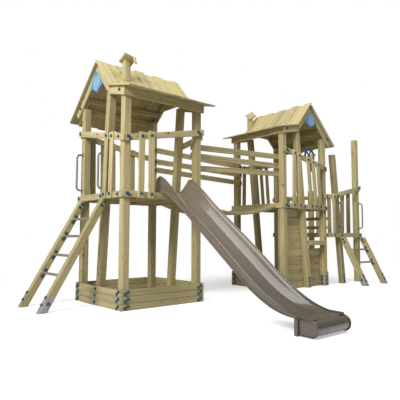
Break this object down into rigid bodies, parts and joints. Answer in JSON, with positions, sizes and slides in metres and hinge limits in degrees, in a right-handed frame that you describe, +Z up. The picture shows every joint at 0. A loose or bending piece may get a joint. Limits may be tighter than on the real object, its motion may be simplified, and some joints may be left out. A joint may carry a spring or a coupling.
{
  "type": "play tower",
  "caption": "Timber play tower: crooked-roof towers joined by a hanging plank bridge, with a chute slide, ladders, railings and a low side deck.",
  "frame": {"origin": "middle of the footprint at ground level", "axes": "+X from the ladder end to the low side deck, +Y away from the slide, +Z up"},
  "size_m": [6.5726, 3.9704, 3.4153],
  "materials": {
    "pine_posts": "pressure-treated pine, planed",
    "pine_boards": "pressure-treated pine boards, planed",
    "slide_plastic": "moulded taupe plastic, satin",
    "handle_tube": "bent steel tube, grey-brown coating",
    "wheel_plastic": "moulded petrol-blue plastic"
  },
  "bodies": {
    "tower_frame": {"bridge_rail_back_low": "pine_posts", "bridge_rail_back_middle": "pine_posts", "bridge_rail_back_top": "pine_posts", "bridge_rail_front_low": "pine_posts", "bridge_rail_front_middle": "pine_posts", "bridge_rail_front_top": "pine_posts", "left_ladder": "pine_posts", "left_ladder_handle_back": "handle_tube", "left_ladder_handle_front": "handle_tube", "left_tower_chimney": "pine_boards", "left_tower_deck_frame": "pine_boards", "left_tower_floor": "pine_boards", "left_tower_leaning_post_left": "pine_posts", "left_tower_leaning_post_right": "pine_posts", "left_tower_post_back_left": "pine_posts", "left_tower_post_back_right": "pine_posts", "left_tower_post_front_left": "pine_posts", "left_tower_post_front_right": "pine_posts", "left_tower_railing_back": "pine_boards", "left_tower_railing_front": "pine_boards", "left_tower_railing_left": "pine_boards", "left_tower_railing_right": "pine_boards", "left_tower_roof_frame": "pine_boards", "left_tower_roof_long_slope": "pine_boards", "left_tower_roof_steep_slope": "pine_boards", "left_tower_sandbox_planks": "pine_boards", "right_ladder": "pine_posts", "right_ladder_handle_left": "handle_tube", "right_ladder_handle_right": "handle_tube", "right_tower_chimney": "pine_boards", "right_tower_counter": "pine_posts", "right_tower_deck_frame": "pine_boards", "right_tower_floor": "pine_boards", "right_tower_leaning_post_back": "pine_posts", "right_tower_leaning_post_front": "pine_posts", "right_tower_post_back_left": "pine_posts", "right_tower_post_back_right": "pine_posts", "right_tower_post_front_left": "pine_posts", "right_tower_post_front_right": "pine_posts", "right_tower_railing_back": "pine_boards", "right_tower_railing_front": "pine_boards", "right_tower_rim_planks": "pine_boards", "right_tower_roof_frame": "pine_boards", "right_tower_roof_long_slope": "pine_boards", "right_tower_roof_steep_slope": "pine_boards", "right_tower_siding": "pine_posts", "ships_wheel_bracket": "pine_posts", "side_deck_floor": "pine_boards", "side_deck_frame": "pine_boards", "side_deck_leaning_post": "pine_posts", "side_deck_post_back_right": "pine_posts", "side_deck_post_front_right": "pine_posts", "side_deck_railing_back": "pine_boards", "side_deck_railing_front": "pine_boards", "side_deck_railing_right": "pine_boards", "side_step_bars": "pine_posts", "slide": "slide_plastic"},
    "wheel": {"ships_wheel": "wheel_plastic"},
    "bridge_left": {"bridge_deck_left_half": "pine_posts"},
    "bridge_right": {"bridge_deck_right_half": "pine_posts"}
  },
  "joints": [
    {"name": "wheel_turn", "type": "hinge", "parent": "tower_frame", "child": "wheel", "pos_m": [1.6057, 0.5468, 2.42], "axis": [0, 1, 0], "continuous": true},
    {"name": "bridge_left_lift", "type": "hinge", "parent": "tower_frame", "child": "bridge_left", "pos_m": [-1.106, 1.0898, 1.428], "axis": [0, -1, 0], "range_deg": [0, 2]},
    {"name": "bridge_right_lift", "type": "hinge", "parent": "tower_frame", "child": "bridge_right", "pos_m": [0.7174, 1.0898, 1.428], "axis": [0, 1, 0], "range_deg": [0, 2]}
  ],
  "couplings": [
    {"joint": "bridge_right_lift", "follows": "bridge_left_lift", "ratio": 1}
  ]
}
